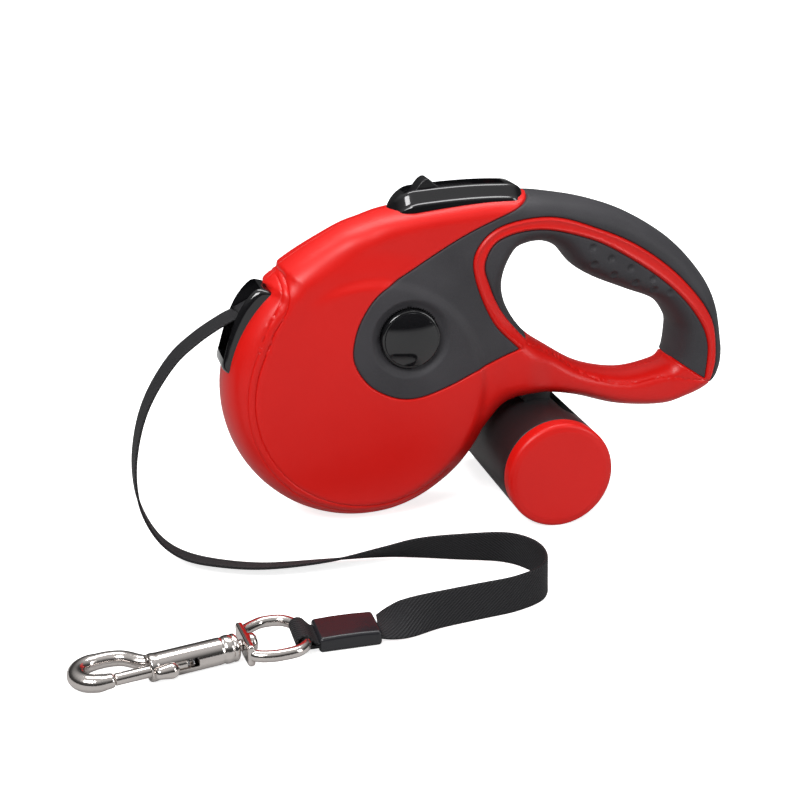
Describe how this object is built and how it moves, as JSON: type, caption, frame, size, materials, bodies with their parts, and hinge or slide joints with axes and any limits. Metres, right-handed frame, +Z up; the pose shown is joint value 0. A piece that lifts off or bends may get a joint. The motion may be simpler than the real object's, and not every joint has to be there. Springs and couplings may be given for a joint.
{
  "type": "retractable leash",
  "caption": "Retractable tape leash: round reel housing with closed handle, sliding brake button, bag dispenser tube under the handle and a swivel snap hook on flat tape.",
  "frame": {"origin": "centre of the housing's bounding box in X and Y, on the floor that the round body and the dispenser tube stand on; the free tape and snap are left out of it", "axes": "+X from the tape nozzle to the outer handle, +Y across the thickness away from the dispenser's cap, +Z up"},
  "size_m": [0.2503, 0.1436, 0.1217],
  "materials": {
    "body_red": "satin ABS",
    "grip": "soft-touch, fine speckle",
    "gloss_black": "polished",
    "trim_black": "semi-gloss",
    "inner_plastic": "moulded",
    "steel": "plain",
    "webbing": "twill webbing",
    "tube_black": "fine matt",
    "bag_film": "rolled film",
    "card": "plain card",
    "sleeve_black": "semi-gloss",
    "nickel": "polished nickel plate"
  },
  "bodies": {
    "housing": {"shell_left": "body_red", "shell_right": "body_red", "grip_panel_left": "grip", "grip_panel_right": "grip", "finger_pad": "grip", "cover_cap_left": "gloss_black", "cover_cap_right": "gloss_black", "nozzle": "gloss_black", "tape_guide_pin": "steel", "brake_bezel": "trim_black", "pawl_pin": "steel", "brake_spring": "steel", "axle": "steel", "tape_lead": "webbing", "case_screws": "steel", "dispenser_tube": "tube_black", "tape_free": "webbing", "tape_end_loop": "webbing", "tape_sleeve": "sleeve_black", "swivel_eye": "nickel"},
    "reel": {"reel": "inner_plastic", "spring_cover": "inner_plastic", "mainspring": "steel", "tape_coil": "webbing"},
    "plunger": {"brake_plunger": "inner_plastic"},
    "button": {"brake_button": "trim_black"},
    "pawl": {"brake_pawl": "steel"},
    "dispenser_cap": {"dispenser_cap": "body_red"},
    "bag_roll": {"bag_roll": "bag_film", "bag_core": "card"},
    "snap": {"snap_body": "nickel", "bolt_spring": "steel"},
    "snap_bolt": {"snap_bolt": "nickel"}
  },
  "joints": [
    {"name": "reel_spin", "type": "hinge", "parent": "housing", "child": "reel", "pos_m": [-0.04475, 0, 0.05], "axis": [0, 1, 0], "continuous": true},
    {"name": "brake_press", "type": "slide", "parent": "housing", "child": "plunger", "axis": [0, 0, -1], "range_m": [0, 0.002], "stiffness_N_per_m": 1500, "springref_m": -0.001, "deforming": ["brake_spring"]},
    {"name": "brake_lock", "type": "slide", "parent": "plunger", "child": "button", "axis": [1, 0, 0], "range_m": [0, 0.008]},
    {"name": "pawl_turn", "type": "hinge", "parent": "housing", "child": "pawl", "pos_m": [-0.00477, -0.0075, 0.09918], "axis": [0, -1, 0], "range_deg": [0, 8.5]},
    {"name": "cap_pull", "type": "slide", "parent": "housing", "child": "dispenser_cap", "axis": [0, -1, 0], "range_m": [0, 0.012]},
    {"name": "bag_roll_spin", "type": "hinge", "parent": "housing", "child": "bag_roll", "pos_m": [0.02005, 0, 0.0177], "axis": [0, 1, 0], "continuous": true},
    {"name": "snap_swivel", "type": "hinge", "parent": "housing", "child": "snap", "pos_m": [-0.10363, -0.09522, 0.0044], "axis": [0.9799, 0.1994, 0], "continuous": true},
    {"name": "snap_bolt_slide", "type": "slide", "parent": "snap", "child": "snap_bolt", "axis": [0.9799, 0.1994, 0], "range_m": [0, 0.008], "stiffness_N_per_m": 400, "springref_m": -0.004, "deforming": ["bolt_spring"]}
  ],
  "couplings": [
    {"joint": "pawl_turn", "follows": "brake_press", "rad_per_m": 71.4}
  ]
}
